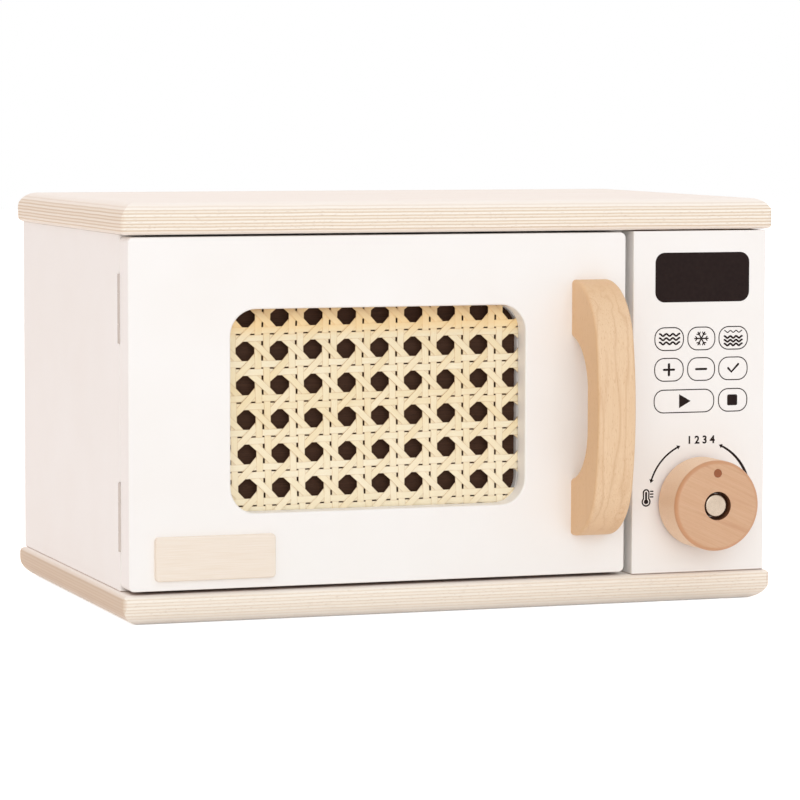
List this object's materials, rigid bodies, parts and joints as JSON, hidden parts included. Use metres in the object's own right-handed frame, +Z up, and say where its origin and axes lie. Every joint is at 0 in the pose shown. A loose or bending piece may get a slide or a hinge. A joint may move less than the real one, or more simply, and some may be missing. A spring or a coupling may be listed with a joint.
{
  "type": "toy microwave",
  "caption": "Wooden toy microwave between rounded plywood boards, with a hinged door, cane-webbed window, bowed handle, printed controls, a turning knob and a turntable.",
  "frame": {"origin": "middle of the bottom board's underside", "axes": "+X to the right seen from the front, +Y to the back, +Z up; the door faces -Y"},
  "size_m": [0.315, 0.2327, 0.189],
  "materials": {
    "plywood": "clear matt lacquer, plies show on the edges",
    "white_paint": "matt warm white paint on wood board",
    "cane": "woven natural cane",
    "dark_board": "dark brown stain",
    "beech": "clear matt lacquer",
    "pale_wood": "clear matt lacquer",
    "brown_wood": "stained",
    "felt": "felt",
    "bright_steel": "polished nickel plate",
    "steel": "zinc plate"
  },
  "bodies": {
    "casing": {"top_board": "plywood", "bottom_board": "plywood", "left_side_panel": "white_paint", "right_side_panel": "white_paint", "back_panel": "white_paint", "partition_panel": "white_paint", "control_panel": "white_paint", "top_board_dowels": "beech", "knob_felt_washer": "felt", "knob_bolt": "bright_steel", "bottom_board_screws": "steel", "back_panel_screws": "steel", "upper_hinge_side_leaf": "steel", "upper_hinge_pin": "steel", "lower_hinge_side_leaf": "steel", "lower_hinge_pin": "steel", "hinge_side_screws": "steel", "door_magnet": "steel", "knob_spring_washer": "steel", "knob_back_washer": "steel", "knob_lock_nut": "steel", "turntable_spacer": "steel", "turntable_screw": "steel"},
    "door": {"door_panel": "white_paint", "cane_webbing": "cane", "window_bead_frame": "white_paint", "window_back_board": "dark_board", "back_board_screws": "steel", "door_handle": "beech", "handle_screws": "steel", "name_plate": "pale_wood", "upper_hinge_door_leaf": "steel", "lower_hinge_door_leaf": "steel", "hinge_door_screws": "steel", "door_strike": "steel"},
    "knob": {"control_knob": "beech", "knob_pointer": "brown_wood"},
    "turntable": {"turntable_plate": "beech"}
  },
  "joints": [
    {"name": "door_swing", "type": "hinge", "parent": "casing", "child": "door", "pos_m": [-0.1541, -0.0836, 0.0945], "axis": [0, 0, -1], "range_deg": [0, 120]},
    {"name": "knob_turn", "type": "hinge", "parent": "casing", "child": "knob", "pos_m": [0.1209, -0.105, 0.0476], "axis": [0, 1, 0], "continuous": true},
    {"name": "turntable_spin", "type": "hinge", "parent": "casing", "child": "turntable", "pos_m": [-0.03345, 0.0053, 0.02], "axis": [0, 0, 1], "continuous": true}
  ]
}
